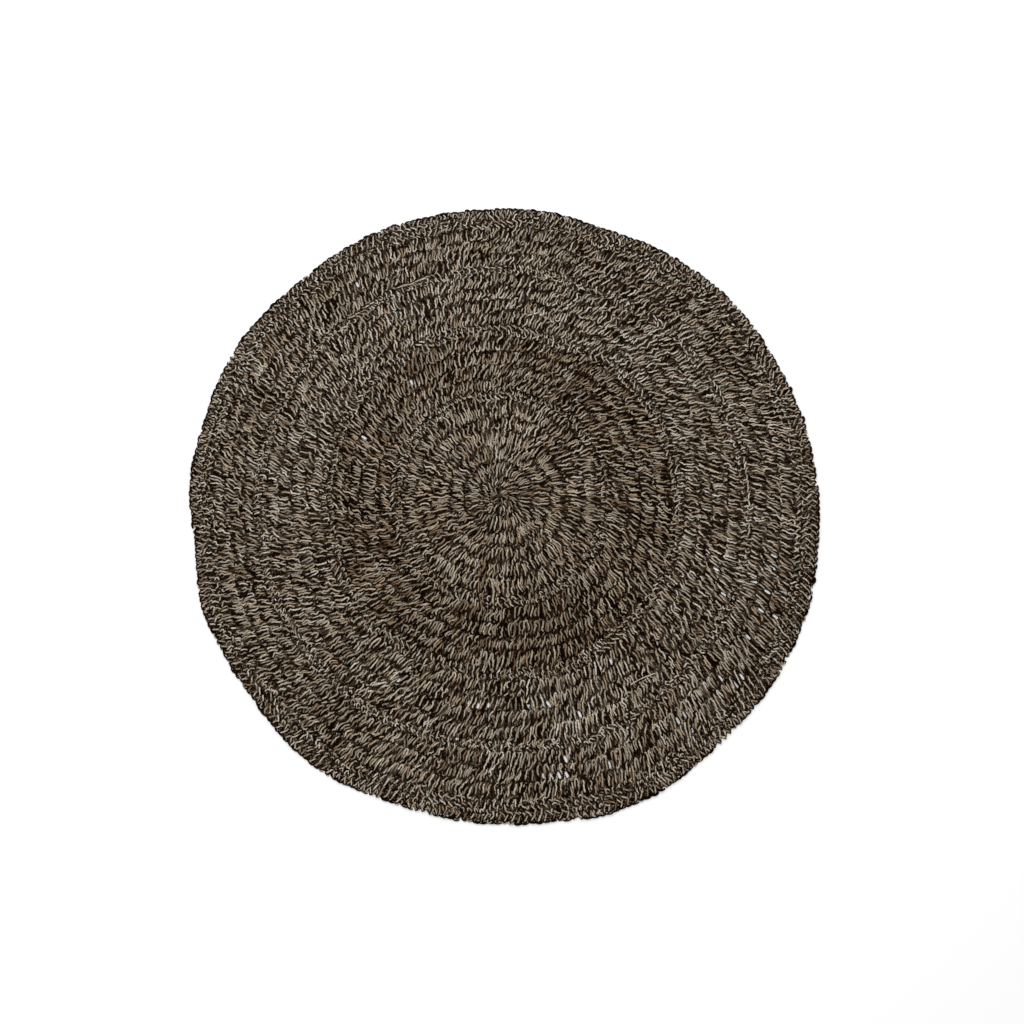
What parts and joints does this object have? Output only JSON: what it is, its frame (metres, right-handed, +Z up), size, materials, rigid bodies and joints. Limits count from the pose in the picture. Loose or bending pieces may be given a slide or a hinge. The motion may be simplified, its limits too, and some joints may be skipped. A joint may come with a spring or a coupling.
{
  "type": "round seagrass rug",
  "caption": "Round rug crocheted from natural and black seagrass, with raised rounds, an uneven hand-made rim and a few see-through gaps.",
  "frame": {"origin": "centre of the rug's bounding box, on the flat underside", "axes": "+Z up out of the face, away from the floor; +X and +Y lie in the plane of the floor"},
  "size_m": [1.5006, 1.4956, 0.0125],
  "materials": {
    "seagrass": "matte, rough natural fibre"
  },
  "bodies": {
    "root": {"rug": "seagrass"}
  },
  "joints": []
}
